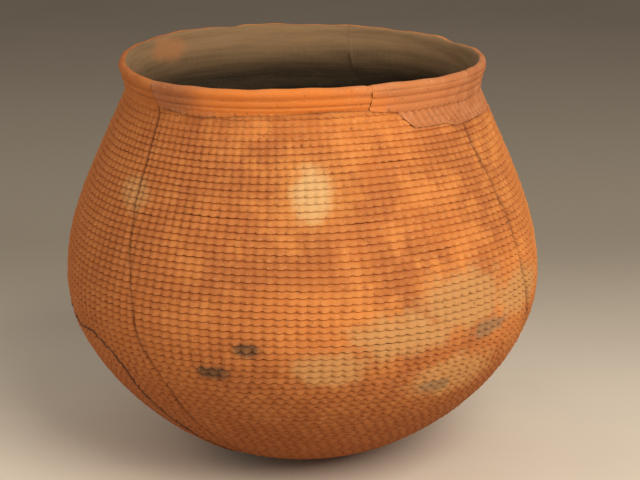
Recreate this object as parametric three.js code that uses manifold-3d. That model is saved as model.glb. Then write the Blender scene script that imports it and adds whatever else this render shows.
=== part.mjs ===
// Corrugated olla: a coiled and finger-indented clay jar, mended from ten sherds.
// Millimetres, +Z up. The origin is on the ground under the middle of the base, and the side
// with the pale oval fire cloud faces -Y. An azimuth is in degrees from -Y towards +X.
// A run is a share of the outer wall's length, from 0 in the middle of the base to 1 at the lip.

import * as THREE from "three";
import { mergeVertices } from "three/addons/utils/BufferGeometryUtils.js";
import Module from "manifold-3d";

// Driving dimensions of the vessel
const footRadius = 30; // flat spot worn on the round bottom, which the jar rests on
const bellyRadius = 180;
const bellyHeight = 143;
const neckRadius = 133.5;
const neckHeight = 285;
const lipRadius = 137.5; // at the lip's widest
const rimHeight = 308;
const wallThickness = 6.5;
const rimSway = 1.8; // how far the hand-built rim rises and falls, twice round
const swayAzimuth = 31; // where it is highest

// How full each stretch of the outer wall is: the lengths of its curve's handles
const footSpread = 86;
const footLift = 12.4;
const bellyDrop = 54.4;
const bellyRise = 45.2;
const shoulderRun = 30;
const shoulderDrop = 68;

// Coil courses and rim fillets
const coilPitch = 5;
const coilsPerStep = 2; // coils that one modelled step stands for
const coilStep = 0.9; // how far a coil's lower edge stands over the coil below
const wornRadius = 76; // inside this the bottom is rubbed smooth
const wearFade = 20; // length over which the lowest courses fade in
const bandHeight = 13; // smooth band under the lip, measured along the wall
const filletCount = 2;
const filletBulge = 0.7;

// Breaks between the sherds
const breakGap = 0.3;
const innerReach = 30; // how far the cuts run on inside and outside the wall
const outerReach = 500;
const overReach = 5; // how much further the curtains go than the blocks
const rimTilt = 25; // how far a cut at the lip looks up, in degrees
const stepAngle = 30; // widest piece of a cut, in degrees

// Roundness of the mesh
const segments = 40;
const innerRings = 14;
const wornRings = 4;
const lipPoints = 5;

const wasm = await Module();
wasm.setup();

// Outer face of the wall, before its courses: radius and height
function outerWall() {
  const point = (radius, height) => new THREE.Vector2(radius, height);
  const foot = point(footRadius, 0);
  const belly = point(bellyRadius, bellyHeight);
  const neck = point(neckRadius, neckHeight);
  const lip = point(lipRadius, rimHeight - wallThickness / 2);
  const wall = new THREE.CurvePath();
  wall.add(new THREE.LineCurve(point(0, 0), foot));
  wall.add(
    new THREE.CubicBezierCurve(
      foot,
      point(footRadius + footSpread, footLift),
      point(bellyRadius, bellyHeight - bellyDrop),
      belly,
    ),
  );
  wall.add(
    new THREE.CubicBezierCurve(
      belly,
      point(bellyRadius, bellyHeight + bellyRise),
      point(neckRadius + shoulderRun, neckHeight - shoulderDrop),
      neck,
    ),
  );
  wall.add(new THREE.QuadraticBezierCurve(neck, point(neckRadius, (neckHeight + lip.y) / 2), lip));
  return wall;
}

const wall = outerWall();
const wallLength = wall.getLength();
const footRun = footRadius / wallLength;
const bellyRun = wall.getCurveLengths()[1] / wallLength;
const bandRun = 1 - bandHeight / wallLength;
const wornRun = wornRadius / wallLength;

// The point that stands off the wall by this much, outwards positive. Past the lip the wall
// is taken to run straight on.
function offWall(run, offset) {
  const nudge = 0.0005;
  const inside = Math.min(Math.max(run, 0), 1);
  const here = wall.getPoint(inside);
  const before = wall.getPoint(Math.max(inside - nudge, 0));
  const after = wall.getPoint(Math.min(inside + nudge, 1));
  const along = after.sub(before).normalize();
  const outward = new THREE.Vector2(along.y, -along.x);
  const past = (run - inside) * wallLength;
  return here.addScaledVector(along, past).addScaledVector(outward, offset);
}

// Profile of the whole vessel, from the middle of its inside, over the lip, to the middle
// of its underside
function innerProfile() {
  const points = [];
  for (let ring = 0; ring <= innerRings; ring++) {
    const inner = offWall(ring / innerRings, -wallThickness);
    points.push(new THREE.Vector2(Math.max(inner.x, 0), inner.y));
  }
  points[0].x = 0;
  return points;
}

function lipProfile() {
  const points = [];
  const roll = wallThickness / 2;
  const middle = offWall(1, -roll);
  const tilt = middle.clone().sub(offWall(1, 0)).angle();
  for (let step = 1; step <= lipPoints; step++) {
    const angle = tilt - (Math.PI * step) / (lipPoints + 1);
    points.push(new THREE.Vector2(roll * Math.cos(angle), roll * Math.sin(angle)).add(middle));
  }
  return points;
}

function filletProfile() {
  const points = [];
  const share = (1 - bandRun) / filletCount;
  for (let fillet = 0; fillet < filletCount; fillet++) {
    points.push(offWall(1 - fillet * share, 0));
    points.push(offWall(1 - (fillet + 0.5) * share, filletBulge));
  }
  return points;
}

// Each step leans out from its top edge to its lower edge, which overhangs the step below
function courseProfile() {
  const points = [];
  const length = (bandRun - wornRun) * wallLength;
  const count = Math.round(length / (coilPitch * coilsPerStep));
  const share = (bandRun - wornRun) / count;
  for (let course = 0; course < count; course++) {
    const top = bandRun - course * share;
    const lower = top - share;
    const step = coilStep * THREE.MathUtils.smoothstep((top - wornRun) * wallLength, 0, wearFade);
    points.push(offWall(top, 0));
    points.push(offWall(lower, step));
  }
  for (let ring = wornRings; ring >= 0; ring--) {
    points.push(offWall(THREE.MathUtils.lerp(footRun, wornRun, ring / wornRings), 0));
  }
  points.push(new THREE.Vector2(0, 0));
  return points;
}

// The rim of a hand-built jar isn't level: it rises and falls, and the wall below follows less
function swayed(geometry) {
  const place = geometry.getAttribute("position");
  for (let i = 0; i < place.count; i++) {
    const azimuth = Math.atan2(place.getX(i), -place.getY(i));
    const lobe = Math.cos(2 * (azimuth - THREE.MathUtils.degToRad(swayAzimuth)));
    const share = THREE.MathUtils.smoothstep(place.getZ(i), bellyHeight, neckHeight);
    place.setZ(i, place.getZ(i) + rimSway * lobe * share);
  }
  return geometry;
}

function solidFrom(geometry) {
  geometry.deleteAttribute("normal");
  geometry.deleteAttribute("uv");
  const merged = mergeVertices(geometry, 1e-4);
  const vertProperties = new Float32Array(merged.getAttribute("position").array);
  const triVerts = new Uint32Array(merged.index.array);
  return new wasm.Manifold(new wasm.Mesh({ numProp: 3, vertProperties, triVerts }));
}

function vessel() {
  const profile = [
    ...innerProfile(),
    ...lipProfile(),
    ...filletProfile(),
    ...courseProfile(),
  ];
  const turned = new THREE.LatheGeometry(profile.reverse(), segments);
  return solidFrom(swayed(turned.rotateX(Math.PI / 2)));
}

// Where breaks meet, as azimuth and run
const overLip = 1.05;
const meet = {
  leftLip: [-52, overLip],
  leftSeam: [-50, 0.965],
  frontSeam: [20.5, 0.965],
  frontLip: [20, overLip],
  slantFoot: [53, 0.918],
  slantLip: [63, overLip],
  rightHead: [57, 0.92],
  farRim: [98, 0.926],
  farLip: [100, overLip],
  backLip: [165, overLip],
  sideLip: [252, overLip],
  sideMid: [256, 0.58],
  baseLeft: [-26, 0.185],
  baseLower: [-37, 0.195],
  baseSide: [252, 0.2],
  baseBack: [160, 0.18],
  baseFar: [108, 0.185],
  baseRight: [73, 0.19],
};

// Each break runs between two meeting points
const breaks = {
  leftRim: [meet.leftLip, [-51.5, 0.99], meet.leftSeam],
  left: [
    meet.leftSeam,
    [-48.5, 0.87],
    [-47.8, 0.8],
    [-46.2, 0.745],
    [-44.6, 0.7],
    [-42.5, 0.64],
    [-41.5, 0.585],
    [-39.4, 0.54],
    [-36.6, 0.5],
    [-35.2, 0.46],
    [-33.6, 0.38],
    [-29.2, 0.3],
    meet.baseLeft,
  ],
  frontSeam: [meet.leftSeam, [-32, 0.957], [-18, 0.963], [8, 0.967], meet.frontSeam],
  frontRim: [meet.frontSeam, [21.3, 0.985], meet.frontLip],
  underRim: [
    meet.frontSeam,
    [30, 0.958],
    [35.5, 0.928],
    [48.5, 0.927],
    meet.slantFoot,
  ],
  slant: [meet.slantFoot, [52.4, 0.94], [50.6, 0.956], [57, 0.973], [60.5, 1], meet.slantLip],
  rightFoot: [meet.slantFoot, meet.rightHead],
  rightUnderRim: [meet.rightHead, [68, 0.921], [84, 0.916], meet.farRim],
  farRim: [meet.farRim, [101.5, 0.965], meet.farLip],
  right: [
    meet.rightHead,
    [58.4, 0.865],
    [60.6, 0.823],
    [61.2, 0.789],
    [62.8, 0.749],
    [63.2, 0.704],
    [64.4, 0.667],
    [66, 0.619],
    [69, 0.566],
    [75, 0.5],
    [80, 0.4],
    [76, 0.3],
    meet.baseRight,
  ],
  far: [
    meet.farRim,
    [104, 0.82],
    [109, 0.68],
    [105, 0.53],
    [112, 0.37],
    meet.baseFar,
  ],
  back: [
    meet.backLip,
    [163, 0.96],
    [159, 0.88],
    [162, 0.74],
    [167, 0.6],
    [161, 0.46],
    [165, 0.32],
    meet.baseBack,
  ],
  side: [meet.sideLip, [254, 0.95], [249, 0.84], [255, 0.7], meet.sideMid],
  lower: [
    meet.sideMid,
    [272, 0.563],
    [288, 0.53],
    [300, 0.54],
    [307.5, 0.515],
    [310, 0.486],
    [312, 0.425],
    [315, 0.36],
    [319.5, 0.28],
    [meet.baseLower[0] + 360, meet.baseLower[1]],
  ],
  sideLow: [meet.sideMid, [249, 0.47], [256, 0.34], meet.baseSide],
  baseFront: [meet.baseLeft, [0, 0.178], [25, 0.19], [50, 0.176], meet.baseRight],
  baseRightSide: [meet.baseRight, [90, 0.2], meet.baseFar],
  baseBackRight: [meet.baseFar, [135, 0.195], meet.baseBack],
  baseBackLeft: [meet.baseBack, [200, 0.196], [226, 0.184], meet.baseSide],
  baseLower: [
    meet.baseSide,
    [290, 0.186],
    [meet.baseLower[0] + 360, meet.baseLower[1]],
  ],
  baseLeft: [meet.baseLower, meet.baseLeft],
};

const back = (line) => [...line].reverse();
const turnedOn = (line) => line.map(([azimuth, run]) => [azimuth + 360, run]);

// A break cut into short steps, so that it follows the round wall
function stepped(line) {
  const fine = [line[0]];
  for (let i = 1; i < line.length; i++) {
    const [fromAzimuth, fromRun] = line[i - 1];
    const [toAzimuth, toRun] = line[i];
    const steps = Math.ceil(Math.abs(toAzimuth - fromAzimuth) / stepAngle) || 1;
    for (let step = 1; step <= steps; step++) {
      fine.push([
        THREE.MathUtils.lerp(fromAzimuth, toAzimuth, step / steps),
        THREE.MathUtils.lerp(fromRun, toRun, step / steps),
      ]);
    }
  }
  return fine;
}

// A place on a break, moved in or out along the break: breaks look down at the base, level at
// the belly and a little up at the rim
function onBreak([azimuth, run], offset) {
  const above = (run - bellyRun) / (1 - bellyRun);
  const tilt = run < bellyRun ? 90 * (run / bellyRun - 1) : rimTilt * above;
  const rise = THREE.MathUtils.degToRad(tilt);
  const place = offWall(run, 0);
  place.add(new THREE.Vector2(offset * Math.cos(rise), offset * Math.sin(rise)));
  const angle = THREE.MathUtils.degToRad(azimuth);
  return new THREE.Vector3(place.x * Math.sin(angle), -place.x * Math.cos(angle), place.y);
}

function fromTriangles(corners) {
  const geometry = new THREE.BufferGeometry();
  const flat = corners.flatMap((corner) => corner.toArray());
  geometry.setAttribute("position", new THREE.Float32BufferAttribute(flat, 3));
  return solidFrom(geometry);
}

// Four triangles over a face that may be twisted, the same from either side
function panel(a, b, c, d) {
  const middle = a.clone().add(b).add(c).add(d).multiplyScalar(0.25);
  return [a, b, middle, b, c, middle, c, d, middle, d, a, middle];
}

// A thin curtain through the wall along a break, which opens its gap
function curtain(line) {
  const fine = stepped(line);
  const sections = fine.map((place, i) => {
    const before = onBreak(fine[Math.max(i - 1, 0)], 0);
    const after = onBreak(fine[Math.min(i + 1, fine.length - 1)], 0);
    const along = after.sub(before).normalize();
    const low = onBreak(place, -innerReach - overReach);
    const high = onBreak(place, outerReach + overReach);
    const side = high.clone().sub(low).cross(along).setLength(breakGap / 2);
    const end = i === 0 ? -breakGap : i === fine.length - 1 ? breakGap : 0;
    const corners = [low.clone().add(side), high.clone().add(side)];
    corners.push(high.clone().sub(side), low.clone().sub(side));
    return corners.map((corner) => corner.addScaledVector(along, end));
  });
  const faces = [];
  for (let i = 1; i < sections.length; i++) {
    for (let edge = 0; edge < 4; edge++) {
      const next = (edge + 1) % 4;
      const [from, to] = [sections[i - 1], sections[i]];
      faces.push(...panel(from[edge], from[next], to[next], to[edge]));
    }
  }
  faces.push(...panel(...sections[0].toReversed()), ...panel(...sections.at(-1)));
  return fromTriangles(faces);
}

// A block through the wall, over all of the area that the lines go round
function blank(lines) {
  const outline = lines.flatMap((line) => stepped(line).slice(0, -1));
  const flat = outline.map(([azimuth, run]) => new THREE.Vector2(azimuth, run * wallLength));
  if (THREE.ShapeUtils.isClockWise(flat)) {
    flat.reverse();
    outline.reverse();
  }
  const outer = outline.map((place) => onBreak(place, outerReach));
  const inner = outline.map((place) => onBreak(place, -innerReach));
  const faces = [];
  for (const [a, b, c] of THREE.ShapeUtils.triangulateShape(flat, [])) {
    faces.push(outer[a], outer[b], outer[c], inner[a], inner[c], inner[b]);
  }
  outline.forEach((place, i) => {
    const next = (i + 1) % outline.length;
    faces.push(...panel(outer[next], outer[i], inner[i], inner[next]));
  });
  return fromTriangles(faces);
}

// The lines round each sherd, end to end
const lip = (from, to) => [from, to];
const outlines = {
  front_wall_sherd: [
    back(breaks.left),
    breaks.frontSeam,
    breaks.underRim,
    breaks.rightFoot,
    breaks.right,
    back(breaks.baseFront),
  ],
  front_rim_sherd: [
    breaks.leftRim,
    breaks.frontSeam,
    breaks.frontRim,
    lip(meet.frontLip, meet.leftLip),
  ],
  front_right_rim_sherd: [
    back(breaks.frontRim),
    breaks.underRim,
    breaks.slant,
    lip(meet.slantLip, meet.frontLip),
  ],
  right_rim_sherd: [
    back(breaks.slant),
    breaks.rightFoot,
    breaks.rightUnderRim,
    breaks.farRim,
    lip(meet.farLip, meet.slantLip),
  ],
  right_wall_sherd: [
    back(breaks.right),
    breaks.rightUnderRim,
    breaks.far,
    back(breaks.baseRightSide),
  ],
  right_back_wall_sherd: [
    back(breaks.far),
    breaks.farRim,
    lip(meet.farLip, meet.backLip),
    breaks.back,
    back(breaks.baseBackRight),
  ],
  left_back_wall_sherd: [
    back(breaks.back),
    lip(meet.backLip, meet.sideLip),
    breaks.side,
    breaks.sideLow,
    back(breaks.baseBackLeft),
  ],
  lower_left_sherd: [
    back(breaks.sideLow),
    breaks.lower,
    back(breaks.baseLower),
  ],
  left_wall_sherd: [
    back(breaks.lower),
    back(breaks.side),
    lip(meet.sideLip, turnedOn([meet.leftLip])[0]),
    turnedOn(breaks.leftRim),
    turnedOn(breaks.left),
    back(turnedOn(breaks.baseLeft)),
  ],
};

// Fired clay, each sherd a little redder or browner than the next
const clay = {
  front_wall_sherd: 0xc06a34,
  front_rim_sherd: 0xc86f3c,
  front_right_rim_sherd: 0xc27a58,
  right_rim_sherd: 0xb8775a,
  right_wall_sherd: 0xcb7434,
  right_back_wall_sherd: 0xb8672f,
  left_back_wall_sherd: 0xb0602f,
  lower_left_sherd: 0xa95a30,
  left_wall_sherd: 0xb4622f,
  base_sherd: 0x9c5330,
};

function sherd(name, solid) {
  const { vertProperties, triVerts } = solid.getMesh();
  const geometry = new THREE.BufferGeometry();
  geometry.setAttribute("position", new THREE.Float32BufferAttribute(vertProperties, 3));
  geometry.setIndex(new THREE.Uint32BufferAttribute(triVerts, 1));
  const flat = geometry.toNonIndexed();
  flat.computeVertexNormals();
  const material = new THREE.MeshStandardMaterial({
    color: clay[name],
    roughness: 0.9,
    metalness: 0,
  });
  const mesh = new THREE.Mesh(flat, material);
  mesh.name = name;
  return mesh;
}

const olla = new THREE.Group();
let rest = vessel();
for (const line of Object.values(breaks)) {
  rest = rest.subtract(curtain(line));
}
for (const [name, lines] of Object.entries(outlines)) {
  const block = blank(lines);
  olla.add(sherd(name, rest.intersect(block)));
  rest = rest.subtract(block);
}
olla.add(sherd("base_sherd", rest));

export default olla;
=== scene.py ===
from itertools import chain

import bpy
import numpy as np
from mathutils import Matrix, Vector


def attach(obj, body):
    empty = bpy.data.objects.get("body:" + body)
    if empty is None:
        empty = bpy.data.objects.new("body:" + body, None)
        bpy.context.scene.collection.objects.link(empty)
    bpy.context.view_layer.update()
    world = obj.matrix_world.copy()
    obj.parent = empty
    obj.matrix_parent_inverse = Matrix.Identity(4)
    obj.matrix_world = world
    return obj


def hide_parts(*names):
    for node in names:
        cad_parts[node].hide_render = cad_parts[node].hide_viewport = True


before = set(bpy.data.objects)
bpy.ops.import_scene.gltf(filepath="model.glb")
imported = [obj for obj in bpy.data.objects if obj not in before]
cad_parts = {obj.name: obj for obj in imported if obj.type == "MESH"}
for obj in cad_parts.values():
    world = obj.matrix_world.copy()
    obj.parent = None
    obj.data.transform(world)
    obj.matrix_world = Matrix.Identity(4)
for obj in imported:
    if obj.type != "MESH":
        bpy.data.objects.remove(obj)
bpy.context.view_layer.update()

# Metres, +Z up. The side with the pale oval fire cloud faces -Y. An azimuth is in degrees
# from -Y towards +X, and a run is a share of the outer wall's length, from the middle of the
# base to the lip.
jar = {
    "footRadius": 0.030, "bellyRadius": 0.180, "bellyHeight": 0.143,
    "neckRadius": 0.1335, "neckHeight": 0.285, "lipRadius": 0.1375, "rimHeight": 0.308,
    "wallThickness": 0.0065, "footSpread": 0.086, "footLift": 0.0124,
    "bellyDrop": 0.0544, "bellyRise": 0.0452, "shoulderRun": 0.030, "shoulderDrop": 0.068,
    "wornRadius": 0.076, "bandHeight": 0.013, "coilPitch": 0.005,
    "columns": 720, "wornRows": 24, "bandRows": 16, "lipSteps": 7, "bandOfRows": 8,
    "slopeReach": 0.003, "seed": 11,
}
rimSway = ((1, 143, 0.0008), (2, 31, 0.0018), (3, 7, 0.0007))  # lobes, highest azimuth, rise
coil = {
    "parts": (0.0, 0.16, 0.5, 0.84),  # where a coil's rows lie, from its lower edge up
    "stand": (-0.0003, 0.0011, 0.0009, 0.0003), "sag": (0.85, 1.0, 0.5, 0.1), "sagDepth": 0.0010,
    "marks": 144, "inLineAbove": 0.115, "markPitch": 0.0079, "markDepth": 0.0006,
    "drift": 0.02, "inLineSpread": 0.05, "looseSpread": 0.35,  # from coil to coil, in marks
    "lean": 0.25, "leanTurn": 0.11, "padRoundness": 0.7, "padSizes": (0.75, 1.2), "padFloor": 0.4,
    "openShare": 0.35, "openWaves": (2, 7), "openStart": (0, 6.3), "openFrom": (0.85, 0.97),
    "openDepth": 0.0004,
    "seamShade": 0.22, "openShade": 0.6, "markShade": (0.35, 0.25, 0, 0.3), "crests": (0, 1.0, 0.7, 0),
    "fadeIn": 0.05, "lowerLift": 0.72, "lowerRuns": (0.35, 0.6),  # as shares of the wall's length
    "rubbedShare": 0.45, "rubbedRuns": (0.90, 0.965), "rubbedRound": (0.6, 0.4, 0.9),
}
rimBand = {
    "coilTop": 0.27, "coilLift": 0.0006, "filletTop": 0.68, "filletLift": 0.0009,
    "lipFrom": (0.72, 0.92), "lipLift": 0.0006, "grooves": (0.27, 0.70), "grooveWidth": 0.06,
    "grooveShade": 0.55,
}
rimFillets = {  # runs, and lengths in metres
    "from": (0.918, 0.926), "foot": 0.958, "pitch": 0.014, "lift": 0.0010,
    "marks": 134, "slantFrom": 0.94, "slantPitch": 0.012, "markRoundness": 0.8,
    "markLift": 0.0012, "markSink": 0.0003, "markShade": 0.7,
    "seam": 0.9575, "seamWidth": 0.0022, "seamDepth": 0.0006,
    "lineShade": 0.6, "linePlace": 0.02, "lineWidth": 0.12,
}
handBuilt = {  # size, lobes round the jar, climb with the run, and start
    "bulge": (0.0005, 3, 9), "wobbles": ((0.0011, 2, 0, 0.8), (0.0007, 5, 14, 0)),
    "wobbleFade": 0.12, "inside": ((0.0003, 9, 40), (0.00025, 23, -90)),
    "insideFrom": (0.02, 0.2), "insideTo": (0.95, 1),
}
columns = jar["columns"]
azimuths = np.arange(columns) * 360 / columns


def smooth(value, low, high):
    share = np.clip((value - low) / (high - low), 0, 1)
    return share * share * (3 - 2 * share)


def hump(value, low, high):
    share = np.clip((value - low) / (high - low), 0, 1)
    return np.sqrt(np.abs(np.sin(np.pi * share)))


def bezier(points, count=500):
    t = np.linspace(0, 1, count)[:, None]
    a, b, c, d = (np.array(point, float) for point in points)
    return (1 - t) ** 3 * a + 3 * (1 - t) ** 2 * t * b + 3 * (1 - t) * t**2 * c + t**3 * d


def outerWall():
    foot = (jar["footRadius"], 0)
    belly = (jar["bellyRadius"], jar["bellyHeight"])
    neck = (jar["neckRadius"], jar["neckHeight"])
    lip = (jar["lipRadius"], jar["rimHeight"] - jar["wallThickness"] / 2)
    flare = (lip[0] - neck[0], lip[1] - neck[1])
    footHandle = (foot[0] + jar["footSpread"], jar["footLift"])
    underBelly = (belly[0], belly[1] - jar["bellyDrop"])
    overBelly = (belly[0], belly[1] + jar["bellyRise"])
    underNeck = (neck[0] + jar["shoulderRun"], neck[1] - jar["shoulderDrop"])
    overNeck = (neck[0], neck[1] + flare[1] / 3)
    underLip = (neck[0] + flare[0] / 3, neck[1] + flare[1] * 2 / 3)
    line = np.vstack([
        [(0, 0)],
        bezier((foot, footHandle, underBelly, belly)),
        bezier((belly, overBelly, underNeck, neck))[1:],
        bezier((neck, overNeck, underLip, lip))[1:],
    ])
    steps = np.hypot(*np.diff(line, axis=0).T)
    run = np.concatenate([[0], np.cumsum(steps)])
    return line[:, 0], line[:, 1], run / run[-1], run[-1]


wallRadius, wallHeight, wallRun, wallLength = outerWall()


def onWall(run):
    return np.interp(run, wallRun, wallRadius), np.interp(run, wallRun, wallHeight)


def onJar(azimuth, run, stand, rise=0):
    nudge = jar["slopeReach"] / wallLength
    radius, height = onWall(run)
    lowRadius, lowHeight = onWall(run - nudge)
    highRadius, highHeight = onWall(run + nudge)
    length = np.hypot(highRadius - lowRadius, highHeight - lowHeight)
    out = (highRadius - lowRadius) / length
    up = (highHeight - lowHeight) / length
    radius = radius + stand * up + rise * out
    height = height - stand * out + rise * up
    sway = sum(size * np.cos(np.radians(lobes * (azimuth - peak))) for lobes, peak, size in rimSway)
    height = height + sway * smooth(height, jar["bellyHeight"], jar["neckHeight"])
    angle = np.radians(azimuth)
    return np.stack([radius * np.sin(angle), -radius * np.cos(angle), height], -1)


# The rows of the wall: a rubbed bottom, four rows to a coil, and the smooth band under the lip.
def jarRows():
    worn = jar["wornRadius"] / wallLength
    band = 1 - jar["bandHeight"] / wallLength
    count = round((band - worn) * wallLength / jar["coilPitch"])
    below = np.linspace(0, worn, jar["wornRows"])[:-1]
    starts = worn + (band - worn) / count * (np.arange(count)[:, None] + np.array(coil["parts"]))
    rows = np.concatenate([below, starts.ravel(), np.linspace(band, 1, jar["bandRows"])])
    return rows, len(below), count, worn, band


rowRun, firstCoil, coilCount, wornRun, bandRun = jarRows()
rowCount = len(rowRun)
turn = np.radians(azimuths)


# Each coil overlaps the one below, and a fingertip pressed it down at every mark.
def coilRelief():
    rng = np.random.default_rng(jar["seed"])
    stand = np.zeros((rowCount, columns))
    slide = np.zeros_like(stand)
    creviceShade = np.zeros_like(stand)
    crest = np.zeros_like(stand)
    phase = 0
    for number in range(coilCount):
        row = firstCoil + number * len(coil["parts"])
        radius, height = onWall(rowRun[row])
        inLine = height > coil["inLineAbove"]
        marks = coil["marks"] if inLine else round(2 * np.pi * radius / coil["markPitch"])
        phase += rng.normal(coil["drift"], coil["inLineSpread"] if inLine else coil["looseSpread"])
        spot = azimuths / 360 * marks + phase + coil["lean"] * np.sin(turn + number * coil["leanTurn"])
        pad = np.abs(np.sin(np.pi * spot)) ** coil["padRoundness"]
        size = rng.uniform(*coil["padSizes"], marks)[np.floor(spot).astype(int) % marks]
        wave = np.sin(turn * rng.integers(*coil["openWaves"]) + rng.uniform(*coil["openStart"]))
        opened = smooth(wave, *coil["openFrom"]) * (rng.random() < coil["openShare"])
        for part, lift in enumerate(coil["stand"]):
            padLift = coil["padFloor"] + (1 - coil["padFloor"]) * pad
            strength = size * padLift if part else 1
            stand[row + part] = lift * strength - coil["markDepth"] * (1 - pad)
            slide[row + part] = -coil["sagDepth"] * coil["sag"][part] * pad * size
            # Painted shade: this mask darkens the seams under each coil, the opened seams and the hollows
            # between the finger marks.
            creviceShade[row + part] = coil["markShade"][part] * (1 - pad)
            # The crest mask lightens the raised pads: partly real wear, partly a painted highlight.
            crest[row + part] = coil["crests"][part] * pad * size
        stand[row] -= coil["openDepth"] * opened
        creviceShade[row] += coil["seamShade"] + coil["openShade"] * opened
    fade = smooth(rowRun, wornRun, wornRun + coil["fadeIn"])[:, None]
    lower = coil["lowerLift"] + (1 - coil["lowerLift"]) * smooth(rowRun, *coil["lowerRuns"])[:, None]
    middle, swing, start = coil["rubbedRound"]
    rubbedHere = smooth(rowRun, *coil["rubbedRuns"])[:, None] * (middle + swing * np.cos(turn + start))
    rubbed = 1 - coil["rubbedShare"] * rubbedHere
    worn = fade * rubbed * lower
    return stand * worn, slide * fade, creviceShade * fade * rubbed, crest * worn


# The wiped band: a thin coil, a fillet, a groove and the roll of the lip.
def bandRelief():
    share = (rowRun - bandRun) / (1 - bandRun)
    lift = rimBand["coilLift"] * hump(share, 0, rimBand["coilTop"])
    lift = lift + rimBand["filletLift"] * hump(share, rimBand["coilTop"], rimBand["filletTop"])
    lift = lift + rimBand["lipLift"] * smooth(share, *rimBand["lipFrom"])
    # Painted shade darkens the two grooves of the band.
    line = sum(np.exp(-((share - groove) / rimBand["grooveWidth"]) ** 2) for groove in rimBand["grooves"])
    within = share >= -1e-9
    return (lift * within)[:, None], (rimBand["grooveShade"] * line * within)[:, None]


# The sherds right of the front seam carry three fillets over a row of tall slanting marks.
def filletRelief(stand, creviceShade):
    runs = rowRun[:, None]
    fillet = (runs - rimFillets["foot"]) / rimFillets["pitch"]
    slant = (runs - rimFillets["slantFrom"]) * wallLength / rimFillets["slantPitch"]
    mark = np.abs(np.sin(np.pi * (azimuths / 360 * rimFillets["marks"] + slant)))
    mark = mark ** rimFillets["markRoundness"]
    isFillet = fillet > 0
    filletLift = rimFillets["lift"] * np.sqrt(np.abs(np.sin(np.pi * fillet)))
    markLift = rimFillets["markLift"] * mark - rimFillets["markSink"]
    relief = np.where(isFillet, filletLift, markLift)
    seam = np.exp(-((runs - rimFillets["seam"]) / rimFillets["seamWidth"]) ** 2)
    # Painted shade darkens the line under each fillet and the hollows between the slanting marks.
    line = np.exp(-((fillet % 1 - rimFillets["linePlace"]) / rimFillets["lineWidth"]) ** 2)
    dark = np.where(isFillet, rimFillets["lineShade"] * line, rimFillets["markShade"] * (1 - mark))
    share = smooth(runs, *rimFillets["from"])
    lift = stand * (1 - share) + relief * share - rimFillets["seamDepth"] * seam
    return lift, creviceShade * (1 - share) + dark * share


# Points on the lines along which the jar broke, as (azimuth, run).
overLip = 1.05
meet = {
    "leftLip": (-52, overLip), "leftSeam": (-50, 0.965), "frontSeam": (20.5, 0.965),
    "frontLip": (20, overLip), "slantFoot": (53, 0.918), "slantLip": (63, overLip),
    "rightHead": (57, 0.92), "farRim": (98, 0.926), "farLip": (100, overLip),
    "backLip": (165, overLip), "sideLip": (252, overLip), "sideMid": (256, 0.58),
    "baseLeft": (-26, 0.185), "baseLower": (-37, 0.195), "lowerFoot": (323, 0.195),
    "baseSide": (252, 0.2), "baseBack": (160, 0.18), "baseFar": (108, 0.185),
    "baseRight": (73, 0.19),
}
breaks = {
    "leftRim": ["leftLip", (-51.5, 0.99), "leftSeam"],
    "left": [
        "leftSeam", (-48.5, 0.87), (-47.8, 0.8), (-46.2, 0.745), (-44.6, 0.7), (-42.5, 0.64),
        (-41.5, 0.585), (-39.4, 0.54), (-36.6, 0.5), (-35.2, 0.46), (-33.6, 0.38), (-29.2, 0.3),
        "baseLeft",
    ],
    "frontSeam": ["leftSeam", (-32, 0.957), (-18, 0.963), (8, 0.967), "frontSeam"],
    "frontRim": ["frontSeam", (21.3, 0.985), "frontLip"],
    "underRim": ["frontSeam", (30, 0.958), (35.5, 0.928), (48.5, 0.927), "slantFoot"],
    "slant": [
        "slantFoot", (52.4, 0.94), (50.6, 0.956), (57, 0.973), (60.5, 1), "slantLip",
    ],
    "rightFoot": ["slantFoot", "rightHead"],
    "rightUnderRim": ["rightHead", (68, 0.921), (84, 0.916), "farRim"],
    "farRim": ["farRim", (101.5, 0.965), "farLip"],
    "right": [
        "rightHead", (58.4, 0.865), (60.6, 0.823), (61.2, 0.789), (62.8, 0.749), (63.2, 0.704),
        (64.4, 0.667), (66, 0.619), (69, 0.566), (75, 0.5), (80, 0.4), (76, 0.3), "baseRight",
    ],
    "far": ["farRim", (104, 0.82), (109, 0.68), (105, 0.53), (112, 0.37), "baseFar"],
    "back": [
        "backLip", (163, 0.96), (159, 0.88), (162, 0.74), (167, 0.6), (161, 0.46), (165, 0.32),
        "baseBack",
    ],
    "side": ["sideLip", (254, 0.95), (249, 0.84), (255, 0.7), "sideMid"],
    "lower": [
        "sideMid", (272, 0.563), (288, 0.53), (300, 0.54), (307.5, 0.515), (310, 0.486),
        (312, 0.425), (315, 0.36), (319.5, 0.28), "lowerFoot",
    ],
    "sideLow": ["sideMid", (249, 0.47), (256, 0.34), "baseSide"],
    "baseFront": ["baseLeft", (0, 0.178), (25, 0.19), (50, 0.176), "baseRight"],
    "baseRightSide": ["baseRight", (90, 0.2), "baseFar"],
    "baseBackRight": ["baseFar", (135, 0.195), "baseBack"],
    "baseBackLeft": ["baseBack", (200, 0.196), (226, 0.184), "baseSide"],
    "baseLower": ["baseSide", (290, 0.186), "lowerFoot"],
    "baseLeft": ["baseLower", "baseLeft"],
}
breaks = {name: [meet.get(point, point) for point in line] for name, line in breaks.items()}
breakNames = list(breaks)
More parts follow.
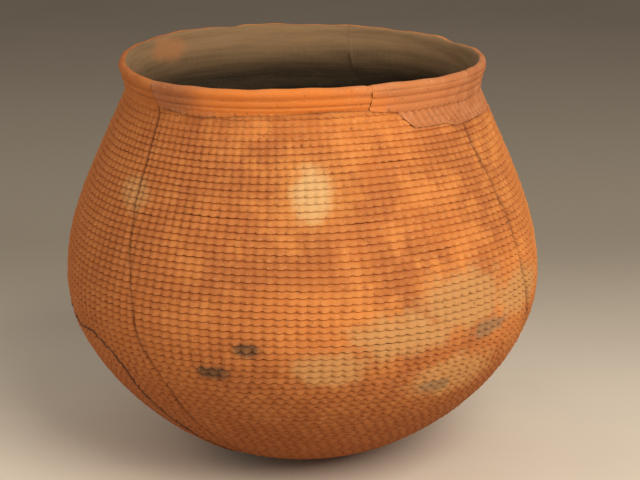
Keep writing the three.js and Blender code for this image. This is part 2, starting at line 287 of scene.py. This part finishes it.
joins = {
    "halfGap": 0.00008, "halfGaps": {"right": 0.00015, "left": 0.0001},
    "groove": (0.0004, 0.0010),  # depth and width
    "grooves": {"right": (0.0016, 0.0022), "left": (0.0010, 0.0015), "frontSeam": (0.0006, 0.0010)},
    # The darkness along the joins is painted shade.
    "dark": 0.5, "grooveShade": 0.85, "roughness": (0.4, 0.9),
    "lostFrom": (0.55, 0.8), "lostShade": 0.9, "lostWidth": 0.0035, "proudReach": 0.02,
    "chipWaves": ((213, 2, 0), (79, 0, 1)),  # climb with the run, lobes round the jar, start
}
halfGaps = np.array([joins["halfGaps"].get(name, joins["halfGap"]) for name in breakNames])

# Each sherd's outline: "-" is a line backwards, ">" is a line one turn on.
sherds = {
    "front_wall_sherd": {
        "outline": ("-left", "frontSeam", "underRim", "rightFoot", "right", "-baseFront"),
        "slot": "corrugated_clay"},
    "front_rim_sherd": {"outline": ("leftRim", "frontSeam", "frontRim"), "slot": "rim_clay"},
    "front_right_rim_sherd": {
        "outline": ("-frontRim", "underRim", "slant"), "slot": "rim_clay", "fillets": True},
    "right_rim_sherd": {
        "outline": ("-slant", "rightFoot", "rightUnderRim", "farRim"), "slot": "rim_clay",
        "fillets": True},
    "right_wall_sherd": {
        "outline": ("-right", "rightUnderRim", "far", "-baseRightSide"),
        "slot": "corrugated_clay"},
    "right_back_wall_sherd": {
        "outline": ("-far", "farRim", "back", "-baseBackRight"), "slot": "corrugated_clay"},
    "left_back_wall_sherd": {
        "outline": ("-back", "side", "sideLow", "-baseBackLeft"), "slot": "corrugated_clay"},
    "lower_left_sherd": {
        "outline": ("-sideLow", "lower", "-baseLower"), "slot": "corrugated_clay",
        "proud": 0.0012},
    "left_wall_sherd": {
        "outline": ("-lower", "-side", "leftRim>", "left>", "-baseLeft>"),
        "slot": "corrugated_clay"},
    "base_sherd": {"outline": (), "slot": "base_clay"},
}


def outlinePoints(names):
    points = []
    for name in names:
        line = breaks[name.strip("->")]
        if name.startswith("-"):
            line = line[::-1]
        points += [(azimuth + 360 * name.endswith(">"), run) for azimuth, run in line]
    return points


def insideOutline(azimuth, run, points):
    inside = np.zeros(azimuth.shape, bool)
    for (fromAzimuth, fromRun), (toAzimuth, toRun) in zip(points, points[1:] + points[:1]):
        if fromRun != toRun:
            crossed = (fromRun > run) != (toRun > run)
            at = fromAzimuth + (run - fromRun) / (toRun - fromRun) * (toAzimuth - fromAzimuth)
            inside ^= crossed & (azimuth < at)
    return inside


def nearestBreak(azimuth, run, names):
    least = np.full(azimuth.shape, 9.0)
    nearAzimuth = np.array(azimuth, float)
    nearRun = np.array(run, float)
    nearLine = np.zeros(azimuth.shape, int)
    perDegree = np.radians(1) * np.maximum(onWall(run)[0], 1e-4)
    for name in names:
        points = breaks[name]
        for (fromAzimuth, fromRun), (toAzimuth, toRun) in zip(points, points[1:]):
            middle = (fromAzimuth + toAzimuth) / 2
            across = ((azimuth - middle + 180) % 360 - 180) * perDegree
            along = (run - (fromRun + toRun) / 2) * wallLength
            wide = (toAzimuth - fromAzimuth) * perDegree
            tall = (toRun - fromRun) * wallLength
            share = np.clip((across * wide + along * tall) / (wide**2 + tall**2 + 1e-12), -0.5, 0.5)
            apart = np.hypot(across - share * wide, along - share * tall)
            closer = apart < least
            least = np.where(closer, apart, least)
            nearAzimuth = np.where(closer, middle + share * (toAzimuth - fromAzimuth), nearAzimuth)
            nearRun = np.where(closer, (fromRun + toRun) / 2 + share * (toRun - fromRun), nearRun)
            nearLine = np.where(closer, breakNames.index(name), nearLine)
    return least, nearAzimuth, nearRun, nearLine


stand, slide, creviceShade, crest = coilRelief()
bandStand, bandGrooveShade = bandRelief()
stand = stand + bandStand
creviceShade = creviceShade + bandGrooveShade
bulge, bulgeLobes, bulgeClimb = handBuilt["bulge"]
bulges = bulge * np.sin(bulgeLobes * turn + bulgeClimb * rowRun[:, None])
stand = stand + bulges * np.sin(np.pi * rowRun)[:, None]

gridAzimuth = np.repeat(azimuths[None, :], rowCount, axis=0)
wobble = sum(size * np.sin(lobes * turn + climb * rowRun[:, None] + start)
             for size, lobes, climb, start in handBuilt["wobbles"])
fade = handBuilt["wobbleFade"]
envelope = smooth(rowRun, wornRun, wornRun + fade) * (1 - smooth(rowRun, bandRun - fade, bandRun))
gridRun = rowRun[:, None] + (slide + wobble * envelope[:, None]) / wallLength
gridRun[-1] = 1

# Every cell of the wall belongs to one sherd.
afterRun = np.roll(gridRun, -1, axis=1)
cellRun = (gridRun[:-1] + gridRun[1:] + afterRun[:-1] + afterRun[1:]) / 4
cellAzimuth = gridAzimuth[:-1] + 180 / columns
sherdOf = np.full(cellRun.shape, len(sherds) - 1)
for number, look in enumerate(sherds.values()):
    if look["outline"]:
        points = outlinePoints(look["outline"])
        for turnOn in (-360, 0, 360):
            sherdOf[insideOutline(cellAzimuth + turnOn, cellRun, points)] = number

# The points between two sherds go onto the break line.
paddedCells = np.vstack([sherdOf[:1], sherdOf, sherdOf[-1:]])
leftCells = np.roll(paddedCells, 1, axis=1)
border = (paddedCells[:-1] != paddedCells[1:]) | (leftCells[:-1] != leftCells[1:])
border |= (paddedCells[:-1] != leftCells[:-1]) | (paddedCells[1:] != leftCells[1:])
distance, nearAzimuth, nearRun, nearLine = nearestBreak(gridAzimuth, gridRun, breakNames)
edgeAzimuth = np.where(border, nearAzimuth, gridAzimuth)
edgeRun = np.where(border, nearRun, gridRun)
edgeRun[-1] = 1

# Clay is lost along the joins, most along the one at the right.
chipWaves = [np.sin(gridRun * climb + lobes * turn + start)
             for climb, lobes, start in joins["chipWaves"]]
chipNoise = 0.5 + 0.5 * chipWaves[0] * chipWaves[1]
# Painted shade darkens each join and the chipped spots along the right one.
for number, name in enumerate(breakNames):
    depth, width = joins["grooves"].get(name, joins["groove"])
    near = (nearLine == number) * np.exp(-(distance / width) ** 2)
    rough = joins["roughness"][0] + joins["roughness"][1] * chipNoise if name == "right" else 1
    stand = stand - depth * rough * near
    creviceShade = np.maximum(creviceShade, near * (joins["grooveShade"] if name in joins["grooves"] else joins["dark"]))
lost = (nearLine == breakNames.index("right")) * smooth(chipNoise, *joins["lostFrom"])
lost = joins["lostShade"] * lost * np.exp(-(distance / joins["lostWidth"]) ** 2)
creviceShade = np.maximum(creviceShade, lost)
proudShare = np.exp(-nearestBreak(gridAzimuth, gridRun, ["lower"])[0] / joins["proudReach"])
print("wall laid out:", rowCount, "rows,", columns, "columns,", coilCount, "coils")


def outer(row, column):
    return row * columns + column % columns


def inner(row, column):
    return (rowCount + row) * columns + column % columns


def lipRing(column):
    top = rowCount - 1
    ring = [(2 * rowCount + step) * columns + column % columns for step in range(jar["lipSteps"])]
    return [outer(top, column), *ring, inner(top, column)]


outsideFace, insideFace, brokenFace = range(3)  # in the order of each sherd's materials


def sherdFaces(own):
    top = rowCount - 1
    faces = []
    clays = []

    def add(face, clay):
        faces.append(face)
        clays.append(clay)

    for j, i in zip(*(index.tolist() for index in np.nonzero(own))):
        add((outer(j, i), outer(j, i + 1), outer(j + 1, i + 1), outer(j + 1, i)), outsideFace)
        if not own[j, (i + 1) % columns]:
            add((outer(j + 1, i + 1), outer(j, i + 1), inner(j, i + 1), inner(j + 1, i + 1)),
                brokenFace)
        if not own[j, i - 1]:
            add((outer(j, i), outer(j + 1, i), inner(j + 1, i), inner(j, i)), brokenFace)
        if j > 0 and not own[j - 1, i]:
            add((outer(j, i + 1), outer(j, i), inner(j, i), inner(j, i + 1)), brokenFace)
        if j < top - 1 and not own[j + 1, i]:
            add((outer(j + 1, i), outer(j + 1, i + 1), inner(j + 1, i + 1), inner(j + 1, i)),
                brokenFace)
    for low in range(0, top, jar["bandOfRows"]):
        high = min(low + jar["bandOfRows"], top)
        whole = own[low:high].all(axis=0)
        for i in range(columns):
            if whole[i]:
                up = [] if whole[i - 1] else [inner(j, i) for j in range(low + 1, high)]
                down = [inner(j, i + 1) for j in range(high - 1, low, -1)]
                if whole[(i + 1) % columns]:
                    down = []
                add((inner(low, i), *up, inner(high, i), inner(high, i + 1), *down,
                     inner(low, i + 1)), insideFace)
                continue
            for j in range(low, high):
                if own[j, i]:
                    add((inner(j, i), inner(j + 1, i), inner(j + 1, i + 1), inner(j, i + 1)),
                        insideFace)
    for i in np.nonzero(own[top - 1])[0].tolist():
        ring = lipRing(i)
        nextRing = lipRing(i + 1)
        for step in range(len(ring) - 1):
            face = (ring[step], nextRing[step], nextRing[step + 1], ring[step + 1])
            add(face, outsideFace if step < len(ring) / 2 + 1 else insideFace)
        if not own[top - 1, (i + 1) % columns]:
            add(tuple(nextRing[::-1]), brokenFace)
        if not own[top - 1, i - 1]:
            add(tuple(ring), brokenFace)
    return faces, clays


lip = {
    "chips": (  # azimuth, half width in degrees, depth
        (118, 6, 0.0016), (63, 1.2, 0.0012), (20.3, 0.8, 0.0008), (205, 3, 0.0010),
    ),
    "waves": ((0.12, 11, 2), (0.08, 29, 0)),
}
meshing = {"mergeWithin": 2e-6, "smoothUnder": 55}


def sherdPoints(own, look):
    padded = np.vstack([own[:1], own, own[-1:]]).astype(int)
    left = np.roll(padded, 1, axis=1)
    pushAround = padded[:-1] + padded[1:] - left[:-1] - left[1:]
    pushUp = padded[1:] + left[1:] - padded[:-1] - left[:-1]
    move = border * halfGaps[nearLine] / np.maximum(np.hypot(pushAround, pushUp), 1)
    perDegree = np.radians(1) * np.maximum(onWall(edgeRun)[0], 1e-4)
    azimuth = edgeAzimuth + pushAround * move / perDegree
    run = edgeRun + pushUp * move / wallLength
    run[-1] = 1
    ownStand, ownCreviceShade = filletRelief(stand, creviceShade) if "fillets" in look else (stand, creviceShade)
    ownStand = ownStand + look.get("proud", 0) * proudShare
    thickness = jar["wallThickness"]
    outerPoints = onJar(azimuth, run, ownStand)
    uneven = sum(size * np.sin(lobes * turn + climb * rowRun[:, None])
                 for size, lobes, climb in handBuilt["inside"])
    ends = smooth(rowRun, *handBuilt["insideFrom"]) * (1 - smooth(rowRun, *handBuilt["insideTo"]))
    uneven = uneven * ends[:, None]
    innerPoints = onJar(azimuth, run, uneven - thickness)
    chip = sum(depth * np.exp(-((((azimuth[-1] - middle + 180) % 360 - 180) / wide) ** 2))
               for middle, wide, depth in lip["chips"])
    handMade = 1 + sum(size * np.sin(lobes * turn + start) for size, lobes, start in lip["waves"])
    lipPoints = []
    for step in range(jar["lipSteps"]):
        angle = np.pi * (step + 1) / (jar["lipSteps"] + 1)
        out = -thickness / 2 + thickness / 2 * np.cos(angle) + ownStand[-1] * (1 + np.cos(angle)) / 2
        rise = (thickness / 2 * handMade - chip) * np.sin(angle)
        lipPoints.append(onJar(azimuth[-1], np.ones(columns), out, rise))
    places = np.concatenate([outerPoints.reshape(-1, 3), innerPoints.reshape(-1, 3), *lipPoints])
    plain = np.zeros(rowCount * columns + jar["lipSteps"] * columns)
    return places, np.concatenate([ownCreviceShade.ravel(), plain]), np.concatenate([crest.ravel(), plain])


def makeSherd(name, number, look, clays):
    own = sherdOf == number
    places, creviceShadeValues, crestValues = sherdPoints(own, look)
    faces, kinds = sherdFaces(own)
    used = np.unique(np.fromiter(chain.from_iterable(faces), int))
    newIndex = np.zeros(len(places), int)
    newIndex[used] = np.arange(len(used))
    newIndex = newIndex.tolist()
    mesh = bpy.data.meshes.new(name + "_fired")
    mesh.from_pydata(places[used].tolist(), [], [[newIndex[k] for k in face] for face in faces])
    for clay in clays:
        mesh.materials.append(clay)
    mesh.polygons.foreach_set("material_index", kinds)
    for label, values in (("creviceShade", creviceShadeValues), ("crest", crestValues)):
        attribute = mesh.attributes.new(label, "FLOAT", "POINT")
        attribute.data.foreach_set("value", values[used].astype(np.float32))
    piece = bpy.data.objects.new(name + "_fired", mesh)
    bpy.context.collection.objects.link(piece)
    bpy.ops.object.select_all(action="DESELECT")
    piece.select_set(True)
    bpy.context.view_layer.objects.active = piece
    bpy.ops.object.mode_set(mode="EDIT")
    bpy.ops.mesh.select_all(action="SELECT")
    bpy.ops.mesh.remove_doubles(threshold=meshing["mergeWithin"])
    bpy.ops.object.mode_set(mode="OBJECT")
    bpy.ops.object.shade_smooth_by_angle(angle=np.radians(meshing["smoothUnder"]))
    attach(piece, "root")
    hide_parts(name)
    mesh.calc_loop_triangles()
    print(name, len(mesh.loop_triangles), "triangles")
    return piece


def put(tree, kind, **settings):
    node = tree.nodes.new(kind)
    for name, value in settings.items():
        setattr(node, name, value)
    return node


def feed(tree, socket, value):
    if isinstance(value, bpy.types.NodeSocket):
        tree.links.new(value, socket)
    elif socket.type == "RGBA":
        socket.default_value = (*value, 1.0)
    else:
        socket.default_value = value


def calc(tree, operation, first, second):
    node = put(tree, "ShaderNodeMath", operation=operation)
    feed(tree, node.inputs[0], first)
    feed(tree, node.inputs[1], second)
    return node.outputs[0]


def span(tree, value, low, high, start=0.0, end=1.0):
    node = put(tree, "ShaderNodeMapRange", interpolation_type="SMOOTHSTEP")
    for index, number in enumerate((value, low, high, start, end)):
        feed(tree, node.inputs[index], number)
    return node.outputs[0]


def blend(tree, share, first, second):
    node = put(tree, "ShaderNodeMix", data_type="RGBA")
    feed(tree, node.inputs[0], share)
    feed(tree, node.inputs[6], first)
    feed(tree, node.inputs[7], second)
    return node.outputs[2]


def noise(tree, place, scale, detail=4.0, roughness=0.6):
    node = put(tree, "ShaderNodeTexNoise")
    feed(tree, node.inputs["Vector"], place)
    feed(tree, node.inputs["Scale"], scale)
    feed(tree, node.inputs["Detail"], detail)
    feed(tree, node.inputs["Roughness"], roughness)
    return node.outputs[0]


def stretched(tree, place, stretch):
    node = put(tree, "ShaderNodeVectorMath", operation="MULTIPLY")
    feed(tree, node.inputs[0], place)
    feed(tree, node.inputs[1], stretch)
    return node.outputs[0]


def newGroup(name, inputs, outputs):
    tree = bpy.data.node_groups.new(name, "ShaderNodeTree")
    for label, kind in inputs.items():
        tree.interface.new_socket(label, in_out="INPUT", socket_type=kind)
    for label in outputs:
        tree.interface.new_socket(label, in_out="OUTPUT", socket_type="NodeSocketFloat")
    return tree, put(tree, "NodeGroupInput").outputs, put(tree, "NodeGroupOutput").inputs


def useGroup(tree, group, **inputs):
    node = put(tree, "ShaderNodeGroup", node_tree=group)
    for label, value in inputs.items():
        feed(tree, node.inputs[label], value)
    return node.outputs


cloudEdge = {"noise": (85.0, 5.0, 0.65), "mask": (0.5, 1.25)}


# A ragged patch left by the fire, 1 in its middle.
def fireCloudGroup():
    inputs = {
        "Vector": "NodeSocketVector", "Centre": "NodeSocketVector", "Size": "NodeSocketVector",
        "Ragged": "NodeSocketFloat",
    }
    tree, given, result = newGroup("fireCloud", inputs, ["Mask"])
    offset = put(tree, "ShaderNodeVectorMath", operation="SUBTRACT")
    feed(tree, offset.inputs[0], given["Vector"])
    feed(tree, offset.inputs[1], given["Centre"])
    scaled = put(tree, "ShaderNodeVectorMath", operation="DIVIDE")
    feed(tree, scaled.inputs[0], offset.outputs[0])
    feed(tree, scaled.inputs[1], given["Size"])
    length = put(tree, "ShaderNodeVectorMath", operation="LENGTH")
    feed(tree, length.inputs[0], scaled.outputs[0])
    shake = calc(tree, "SUBTRACT", noise(tree, given["Vector"], *cloudEdge["noise"]), 0.5)
    edge = calc(tree, "ADD", length.outputs[1], calc(tree, "MULTIPLY", shake, given["Ragged"]))
    feed(tree, result["Mask"], span(tree, edge, *cloudEdge["mask"], 1.0, 0.0))
    return tree


# Blotches of the fired clay, from large ones to grains of temper. Each mask has a noise's
# scale, detail and roughness, and the two values between which it goes from 0 to 1.
grainMasks = {
    "Mottle": (11.0, 6.0, 0.6, 0.36, 0.64), "Patch": (42.0, 6.0, 0.65, 0.44, 0.66),
    "Speck": (700.0, 2.0, 0.6, 0.63, 0.72), "Pit": (330.0, 3.0, 0.6, 0.62, 0.72),
}
grainHeight = {"fine": (520.0, 5.0, 0.7), "broad": (140.0, 3.0, 0.6), "broadShare": 1.2}


def clayGrainGroup():
    labels = [*grainMasks, "Height"]
    tree, given, result = newGroup("clayGrain", {"Vector": "NodeSocketVector"}, labels)
    place = given["Vector"]
    for label, (scale, detail, roughness, low, high) in grainMasks.items():
        feed(tree, result[label], span(tree, noise(tree, place, scale, detail, roughness), low, high))
    fine = noise(tree, place, *grainHeight["fine"])
    broad = calc(tree, "MULTIPLY", noise(tree, place, *grainHeight["broad"]), grainHeight["broadShare"])
    feed(tree, result["Height"], calc(tree, "ADD", fine, broad))
    return tree


fireCloud = fireCloudGroup()
clayGrain = clayGrainGroup()

# Fire clouds: azimuth, height, half size, raggedness, colour, strength.
cream = (0.70, 0.42, 0.17)
halo = (0.78, 0.31, 0.07)
buff = (0.56, 0.28, 0.095)
grey = (0.26, 0.16, 0.08)
soot = (0.055, 0.036, 0.022)
bodyClouds = (
    (3, 0.239, (0.028, 0.060, 0.030), 1.5, halo, 0.5),
    (3, 0.239, (0.0155, 0.060, 0.020), 1.1, cream, 0.9),
    (6.5, 0.119, (0.030, 0.050, 0.015), 1.4, buff, 0.8),
    (22.5, 0.140, (0.042, 0.060, 0.018), 1.8, buff, 0.85),
    (40, 0.158, (0.042, 0.060, 0.024), 1.8, buff, 0.85),
    (63, 0.149, (0.030, 0.040, 0.019), 1.4, buff, 0.8),
    (40, 0.100, (0.036, 0.060, 0.018), 1.8, buff, 0.75),
    (49, 0.133, (0.015, 0.040, 0.008), 1.5, grey, 0.75),
    (35, 0.094, (0.013, 0.040, 0.006), 1.5, grey, 0.75),
    (-12, 0.133, (0.010, 0.040, 0.006), 1.5, soot, 0.8),
    (-21, 0.113, (0.012, 0.040, 0.006), 1.5, soot, 0.85),
    (-49, 0.230, (0.014, 0.020, 0.013), 1.2, buff, 0.7),
    (150, 0.190, (0.050, 0.050, 0.035), 1.3, buff, 0.6),
    (215, 0.105, (0.055, 0.055, 0.030), 1.4, grey, 0.7),
    (228, 0.235, (0.030, 0.030, 0.020), 1.3, soot, 0.5),
)


def cloudOn(tree, place, colour, cloud):
    azimuth, height, size, ragged, tint, strength = cloud
    run = np.interp(height, wallHeight, wallRun)
    centre = tuple(float(value) for value in onJar(float(azimuth), run, 0.0))
    mask = useGroup(tree, fireCloud, Vector=place, Centre=centre, Size=size, Ragged=ragged)["Mask"]
    return blend(tree, calc(tree, "MULTIPLY", mask, strength), colour, tint)


def newClay(name, look):
    material = bpy.data.materials.new(name)
    material.use_nodes = True
    tree = material.node_tree
    shader = tree.nodes["Principled BSDF"]
    shader.inputs["Specular IOR Level"].default_value = look["shine"]
    place = put(tree, "ShaderNodeTexCoord").outputs["Object"]
    return material, tree, shader, place


claySurface = {"roughness": (0.93, 0.8), "bumpDistance": 0.0005, "pitDepth": 0.6}


def finishClay(tree, shader, colour, grain, look):
    feed(tree, shader.inputs["Base Color"], colour)
    roughness = span(tree, grain["Patch"], 0.0, 1.0, *claySurface["roughness"])
    feed(tree, shader.inputs["Roughness"], roughness)
    bump = put(tree, "ShaderNodeBump")
    feed(tree, bump.inputs["Strength"], look["bump"])
    feed(tree, bump.inputs["Distance"], claySurface["bumpDistance"])
    pits = calc(tree, "MULTIPLY", grain["Pit"], claySurface["pitDepth"])
    feed(tree, bump.inputs["Height"], calc(tree, "SUBTRACT", grain["Height"], pits))
    feed(tree, shader.inputs["Normal"], bump.outputs[0])


def firedClay(name, look):
    material, tree, shader, place = newClay(name, look)
    grain = useGroup(tree, clayGrain, Vector=place)
    axes = put(tree, "ShaderNodeSeparateXYZ")
    feed(tree, axes.inputs[0], place)
    colour = blend(tree, grain["Mottle"], look["dark"], look["clay"])
    bright = calc(tree, "MULTIPLY", grain["Patch"], look["brightShare"])
    colour = blend(tree, bright, colour, look["bright"])
    # Painted shade: the clay is darkened towards the left side and towards the bottom.
    left = span(tree, axes.outputs[0], *look["leftShadeSpan"], 0.0, look["leftShadeShare"])
    colour = blend(tree, left, colour, look["left"])
    low = span(tree, axes.outputs[2], *look["lowShadeSpan"], 0.0, look["lowShadeShare"])
    colour = blend(tree, low, colour, look["low"])
    for cloud in look["clouds"]:
        colour = cloudOn(tree, place, colour, cloud)
    # The pad crests are lightened: partly real wear, partly a painted highlight.
    worn = put(tree, "ShaderNodeAttribute", attribute_name="crest").outputs["Fac"]
    colour = blend(tree, calc(tree, "MULTIPLY", worn, look["wornSheenShare"]), colour, look["worn"])
    # Painted shade: the crevice mask darkens seams, grooves, joins and hollows, broken up by noise, and the
    # pits get the same dark colour.
    creviceShadeMask = put(tree, "ShaderNodeAttribute", attribute_name="creviceShade").outputs["Fac"]
    filled = span(tree, noise(tree, place, look["creviceNoise"]), *look["creviceFrom"])
    creviceShadeMask = calc(tree, "MULTIPLY", creviceShadeMask, filled)
    colour = blend(tree, calc(tree, "MULTIPLY", creviceShadeMask, look["creviceShadeShare"]), colour, look["creviceShade"])
    colour = blend(tree, calc(tree, "MULTIPLY", grain["Speck"], look["speckShare"]), colour, look["speck"])
    colour = blend(tree, calc(tree, "MULTIPLY", grain["Pit"], look["pitShare"]), colour, look["creviceShade"])
    finishClay(tree, shader, colour, grain, look)
    return material


def smokedClay(name, look):
    material, tree, shader, place = newClay(name, look)
    grain = useGroup(tree, clayGrain, Vector=place)
    axes = put(tree, "ShaderNodeSeparateXYZ")
    feed(tree, axes.inputs[0], place)
    scrapes = noise(tree, stretched(tree, place, look["scrapeStretch"]), *look["scrapes"])
    colour = blend(tree, span(tree, scrapes, *look["brownFrom"]), look["soot"], look["brown"])
    high = span(tree, axes.outputs[2], *look["upperFrom"])
    high = calc(tree, "MULTIPLY", high, span(tree, scrapes, *look["upperScrapes"]))
    colour = blend(tree, high, colour, look["upper"])
    for cloud in look["clouds"]:
        colour = cloudOn(tree, place, colour, cloud)
    colour = blend(tree, calc(tree, "MULTIPLY", grain["Speck"], look["speckShare"]), colour, look["speck"])
    finishClay(tree, shader, colour, grain, look)
    return material


def brokenClay(name, look):
    material, tree, shader, place = newClay(name, look)
    grain = useGroup(tree, clayGrain, Vector=place)
    colour = blend(tree, grain["Patch"], look["core"], look["edge"])
    colour = blend(tree, calc(tree, "MULTIPLY", grain["Speck"], look["speckShare"]), colour, look["speck"])
    finishClay(tree, shader, colour, grain, look)
    return material


corrugatedLook = {
    "dark": (0.43, 0.125, 0.031), "clay": (0.61, 0.190, 0.042), "bright": (0.74, 0.265, 0.058),
    # left and low are painted shade colours for the left side and the bottom.
    "brightShare": 0.7, "left": (0.38, 0.106, 0.026), "leftShadeShare": 0.7,
    # worn lightens the pad crests: partly real wear, partly a painted highlight.
    "low": (0.25, 0.068, 0.019), "lowShadeShare": 0.85, "worn": (0.72, 0.30, 0.10),
    "leftShadeSpan": (0.02, -0.17), "lowShadeSpan": (0.17, 0.04), "wornSheenShare": 0.22,
    # Painted shade in seams, grooves, joins and pits: its colour and share.
    "creviceShade": (0.085, 0.028, 0.012), "creviceShadeShare": 0.85, "speck": (0.75, 0.50, 0.30),
    "creviceNoise": 38.0, "creviceFrom": (0.35, 0.65, 0.4, 1.0), "speckShare": 0.35, "pitShare": 0.45,
    "clouds": bodyClouds, "bump": 0.4, "shine": 0.15,
}
rimLook = {
    **corrugatedLook,
    "dark": (0.44, 0.145, 0.052), "clay": (0.56, 0.19, 0.062), "bright": (0.66, 0.27, 0.11),
    "brightShare": 0.5, "leftShadeShare": 0.25, "lowShadeShare": 0.0, "creviceShadeShare": 0.7, "bump": 0.25,
    "clouds": ((-8, 0.297, (0.085, 0.05, 0.018), 1.0, (0.76, 0.215, 0.036), 0.9),
               (-45, 0.300, (0.030, 0.04, 0.012), 1.2, (0.34, 0.12, 0.05), 0.5)),
}
baseLook = {
    **corrugatedLook,
    "dark": (0.26, 0.080, 0.028), "clay": (0.36, 0.115, 0.036), "bright": (0.46, 0.18, 0.065),
    "lowShadeShare": 0.4, "worn": (0.5, 0.2, 0.08), "bump": 0.3,
    "clouds": ((300, 0.010, (0.04, 0.04, 0.02), 1.4, soot, 0.6),
               (120, 0.012, (0.05, 0.04, 0.02), 1.4, soot, 0.5)),
}
smokedLook = {
    "soot": (0.030, 0.021, 0.012), "brown": (0.085, 0.054, 0.026), "upper": (0.29, 0.165, 0.074),
    "scrapeStretch": (9.0, 9.0, 130.0), "scrapes": (1.0, 5.0, 0.7), "brownFrom": (0.35, 0.7),
    "upperFrom": (0.262, 0.300), "upperScrapes": (0.2, 0.65, 0.55, 1.0),
    "speck": (0.30, 0.20, 0.11), "speckShare": 0.3, "bump": 0.35, "shine": 0.2,
    "clouds": ((-124, 0.298, (0.024, 0.024, 0.010), 1.0, (0.42, 0.17, 0.06), 0.7),),
}
brokenLook = {
    "core": (0.13, 0.075, 0.045), "edge": (0.30, 0.125, 0.055), "speck": (0.5, 0.36, 0.22),
    "speckShare": 0.5, "bump": 0.6, "shine": 0.15,
}
outsideClays = {
    "corrugated_clay": firedClay("corrugated_clay_fired", corrugatedLook),
    "rim_clay": firedClay("rim_clay_fired", rimLook),
    "base_clay": firedClay("base_clay_fired", baseLook),
}
insideClay = smokedClay("smoked_inside", smokedLook)
breakClay = brokenClay("broken_edge", brokenLook)
print("clays mixed")

for number, (name, look) in enumerate(sherds.items()):
    makeSherd(name, number, look, (outsideClays[look["slot"]], insideClay, breakClay))

cloth = {
    "pale": (0.80, 0.68, 0.53), "middle": (0.36, 0.295, 0.22), "far": (0.24, 0.19, 0.14),
    "shine": 0.1, "bump": 0.15, "bumpDistance": 0.0006, "weave": (900.0, 2.0), "width": 12,
    "toMiddle": (0.0, 0.62), "toFar": (0.6, 2.2), "patches": (3.0, 3.0),
    "patchRange": (0.3, 0.7, 0.0, 0.12), "roughNoise": 60.0, "roughRange": (0.3, 0.7, 0.9, 1.0),
}


def layCloth():
    bpy.ops.object.select_all(action="DESELECT")
    bpy.ops.mesh.primitive_plane_add(size=cloth["width"], location=(0, 0, 0))
    floor = bpy.context.object
    floor.name = "ground_cloth"
    material, tree, shader, place = newClay("cloth", cloth)
    axes = put(tree, "ShaderNodeSeparateXYZ")
    feed(tree, axes.inputs[0], place)
    colour = blend(tree, span(tree, axes.outputs[1], *cloth["toMiddle"]), cloth["pale"], cloth["middle"])
    colour = blend(tree, span(tree, axes.outputs[1], *cloth["toFar"]), colour, cloth["far"])
    patches = span(tree, noise(tree, place, *cloth["patches"]), *cloth["patchRange"])
    colour = blend(tree, patches, colour, cloth["middle"])
    feed(tree, shader.inputs["Base Color"], colour)
    roughness = span(tree, noise(tree, place, cloth["roughNoise"]), *cloth["roughRange"])
    feed(tree, shader.inputs["Roughness"], roughness)
    bump = put(tree, "ShaderNodeBump")
    feed(tree, bump.inputs["Strength"], cloth["bump"])
    feed(tree, bump.inputs["Distance"], cloth["bumpDistance"])
    feed(tree, bump.inputs["Height"], noise(tree, place, *cloth["weave"]))
    feed(tree, shader.inputs["Normal"], bump.outputs[0])
    floor.data.materials.append(material)


layCloth()

lights = {
    "key": {"place": (0.95, -1.30, 1.45), "size": 1.3, "power": 37, "colour": (1.0, 0.98, 0.94)},
    "fill": {"place": (-1.5, -0.9, 1.0), "size": 1.6, "power": 8, "colour": (1.0, 0.98, 0.95)},
}


lightsAimAt = Vector((0, 0, 0.15))
skyLook = {"colour": (1.0, 0.98, 0.95), "strength": 0.36}


def hangLight(name, look):
    bpy.ops.object.select_all(action="DESELECT")
    bpy.ops.object.light_add(type="AREA", location=look["place"])
    light = bpy.context.object
    light.name = name + "_light"
    light.data.size = look["size"]
    light.data.energy = look["power"]
    light.data.color = look["colour"]
    aim = lightsAimAt - Vector(look["place"])
    light.rotation_euler = aim.to_track_quat("-Z", "Y").to_euler()


for name, look in lights.items():
    hangLight(name, look)
sky = bpy.data.worlds.new("sky")
sky.use_nodes = True
skyInputs = sky.node_tree.nodes["Background"].inputs
skyInputs["Color"].default_value = (*skyLook["colour"], 1.0)
skyInputs["Strength"].default_value = skyLook["strength"]
bpy.context.scene.world = sky
bpy.context.scene.view_settings.view_transform = "Standard"
print("cloth and lights placed")

view = {
    "target": (0.0131, 0.0, 0.164), "distance": 1.55, "elevation": 15.66, "lens": 112.8,
    "sensor": 36,
}
elevation = np.radians(view["elevation"])
bpy.ops.object.select_all(action="DESELECT")
bpy.ops.object.camera_add(location=(
    view["target"][0],
    view["target"][1] - view["distance"] * float(np.cos(elevation)),
    view["target"][2] + view["distance"] * float(np.sin(elevation)),
))
camera = bpy.context.object
camera.rotation_euler = (float(np.pi / 2 - elevation), 0, 0)
camera.data.lens = view["lens"]
camera.data.sensor_width = view["sensor"]
bpy.context.scene.camera = camera
